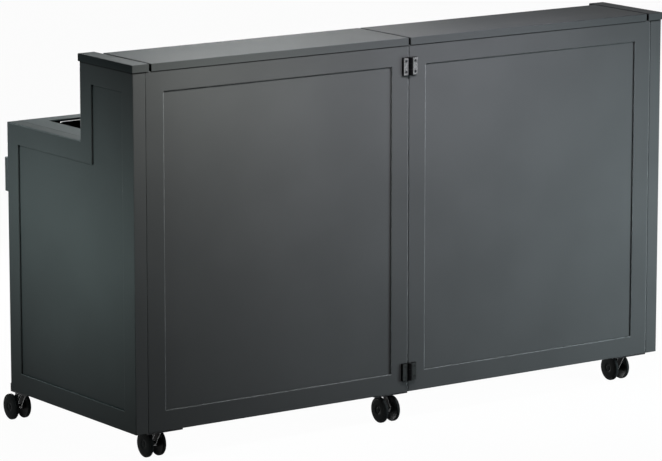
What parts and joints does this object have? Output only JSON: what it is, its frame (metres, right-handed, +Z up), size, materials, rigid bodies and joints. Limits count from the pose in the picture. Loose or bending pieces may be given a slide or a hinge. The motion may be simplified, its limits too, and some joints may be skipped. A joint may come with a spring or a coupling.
{
  "type": "portable folding bar",
  "caption": "Free-standing folding bar with framed panels, a stepped rear counter with an ice bin, fold hinges at the front and twin-wheel swivel casters.",
  "frame": {"origin": "centre of the bar's outline on the floor", "axes": "+X along the bar to the guest's right, +Y from the guest's side to the server's side, +Z up"},
  "size_m": [1.845, 0.72, 1.104],
  "materials": {
    "panel_lacquer": "satin lacquered panel",
    "top_laminate": "satin laminate",
    "inner_board": "satin lacquered board",
    "hinge_black": "satin powder coat",
    "pin_steel": "turned steel",
    "bin_black": "moulded, satin",
    "rim_steel": "brushed",
    "bracket_black": "powder coat",
    "fork_steel": "bright zinc plate",
    "wheel_black": "moulded, satin",
    "cam_zinc": "die cast zinc"
  },
  "bodies": {
    "left_half": {"left_front_frame": "panel_lacquer", "left_front_field": "panel_lacquer", "left_wing_frame": "panel_lacquer", "left_wing_field": "panel_lacquer", "left_wing_cap": "top_laminate", "left_bar_top": "top_laminate", "left_counter": "top_laminate", "left_upright": "inner_board", "left_shelf": "inner_board", "left_cleats": "inner_board", "left_grip": "panel_lacquer", "left_connectors": "cam_zinc", "left_hinge_leaves": "hinge_black", "left_kingpins": "pin_steel", "left_catch_magnets": "pin_steel", "hinge_pins": "pin_steel", "front_left_bracket": "bracket_black", "front_centre_bracket": "bracket_black", "rear_left_bracket": "bracket_black"},
    "right_half": {"right_front_frame": "panel_lacquer", "right_front_field": "panel_lacquer", "right_wing_frame": "panel_lacquer", "right_wing_field": "panel_lacquer", "right_wing_cap": "top_laminate", "right_bar_top": "top_laminate", "right_counter": "top_laminate", "right_upright": "inner_board", "right_shelf": "inner_board", "right_cleats": "inner_board", "right_grip": "panel_lacquer", "right_connectors": "cam_zinc", "right_hinge_leaves": "hinge_black", "right_kingpins": "pin_steel", "right_catch_strikes": "pin_steel", "front_right_bracket": "bracket_black", "rear_right_bracket": "bracket_black"},
    "ice_bin": {"ice_bin": "bin_black", "ice_bin_rim": "rim_steel"},
    "front_left_swivel": {"front_left_fork": "fork_steel", "front_left_axle": "pin_steel"},
    "front_left_wheel_a": {"front_left_wheel_a": "wheel_black"},
    "front_left_wheel_b": {"front_left_wheel_b": "wheel_black"},
    "front_centre_swivel": {"front_centre_fork": "fork_steel", "front_centre_axle": "pin_steel"},
    "front_centre_wheel_a": {"front_centre_wheel_a": "wheel_black"},
    "front_centre_wheel_b": {"front_centre_wheel_b": "wheel_black"},
    "rear_left_swivel": {"rear_left_fork": "fork_steel", "rear_left_axle": "pin_steel"},
    "rear_left_wheel_a": {"rear_left_wheel_a": "wheel_black"},
    "rear_left_wheel_b": {"rear_left_wheel_b": "wheel_black"},
    "front_right_swivel": {"front_right_fork": "fork_steel", "front_right_axle": "pin_steel"},
    "front_right_wheel_a": {"front_right_wheel_a": "wheel_black"},
    "front_right_wheel_b": {"front_right_wheel_b": "wheel_black"},
    "rear_right_swivel": {"rear_right_fork": "fork_steel", "rear_right_axle": "pin_steel"},
    "rear_right_wheel_a": {"rear_right_wheel_a": "wheel_black"},
    "rear_right_wheel_b": {"rear_right_wheel_b": "wheel_black"}
  },
  "joints": [
    {"name": "fold", "type": "hinge", "parent": "left_half", "child": "right_half", "pos_m": [0, -0.354, 0], "axis": [0, 0, -1], "range_deg": [0, 180]},
    {"name": "bin_lift", "type": "slide", "parent": "left_half", "child": "ice_bin", "axis": [0, 0, 1], "range_m": [0, 0.25]},
    {"name": "front_left_turn", "type": "hinge", "parent": "left_half", "child": "front_left_swivel", "pos_m": [-0.819, -0.2935, 0.08], "axis": [0, 0, 1], "continuous": true},
    {"name": "front_left_wheel_a_roll", "type": "hinge", "parent": "front_left_swivel", "child": "front_left_wheel_a", "pos_m": [-0.819, -0.2715, 0.0375], "axis": [1, 0, 0], "continuous": true},
    {"name": "front_left_wheel_b_roll", "type": "hinge", "parent": "front_left_swivel", "child": "front_left_wheel_b", "pos_m": [-0.819, -0.2715, 0.0375], "axis": [1, 0, 0], "continuous": true},
    {"name": "front_centre_turn", "type": "hinge", "parent": "left_half", "child": "front_centre_swivel", "pos_m": [-0.057, -0.2935, 0.08], "axis": [0, 0, 1], "continuous": true},
    {"name": "front_centre_wheel_a_roll", "type": "hinge", "parent": "front_centre_swivel", "child": "front_centre_wheel_a", "pos_m": [-0.057, -0.3155, 0.0375], "axis": [1, 0, 0], "continuous": true},
    {"name": "front_centre_wheel_b_roll", "type": "hinge", "parent": "front_centre_swivel", "child": "front_centre_wheel_b", "pos_m": [-0.057, -0.3155, 0.0375], "axis": [1, 0, 0], "continuous": true},
    {"name": "rear_left_turn", "type": "hinge", "parent": "left_half", "child": "rear_left_swivel", "pos_m": [-0.8955, 0.3005, 0.08], "axis": [0, 0, 1], "continuous": true},
    {"name": "rear_left_wheel_a_roll", "type": "hinge", "parent": "rear_left_swivel", "child": "rear_left_wheel_a", "pos_m": [-0.8955, 0.3225, 0.0375], "axis": [1, 0, 0], "continuous": true},
    {"name": "rear_left_wheel_b_roll", "type": "hinge", "parent": "rear_left_swivel", "child": "rear_left_wheel_b", "pos_m": [-0.8955, 0.3225, 0.0375], "axis": [1, 0, 0], "continuous": true},
    {"name": "front_right_turn", "type": "hinge", "parent": "right_half", "child": "front_right_swivel", "pos_m": [0.819, -0.2935, 0.08], "axis": [0, 0, 1], "continuous": true},
    {"name": "front_right_wheel_a_roll", "type": "hinge", "parent": "front_right_swivel", "child": "front_right_wheel_a", "pos_m": [0.819, -0.2715, 0.0375], "axis": [1, 0, 0], "continuous": true},
    {"name": "front_right_wheel_b_roll", "type": "hinge", "parent": "front_right_swivel", "child": "front_right_wheel_b", "pos_m": [0.819, -0.2715, 0.0375], "axis": [1, 0, 0], "continuous": true},
    {"name": "rear_right_turn", "type": "hinge", "parent": "right_half", "child": "rear_right_swivel", "pos_m": [0.8955, 0.3005, 0.08], "axis": [0, 0, 1], "continuous": true},
    {"name": "rear_right_wheel_a_roll", "type": "hinge", "parent": "rear_right_swivel", "child": "rear_right_wheel_a", "pos_m": [0.8955, 0.3225, 0.0375], "axis": [1, 0, 0], "continuous": true},
    {"name": "rear_right_wheel_b_roll", "type": "hinge", "parent": "rear_right_swivel", "child": "rear_right_wheel_b", "pos_m": [0.8955, 0.3225, 0.0375], "axis": [1, 0, 0], "continuous": true}
  ]
}
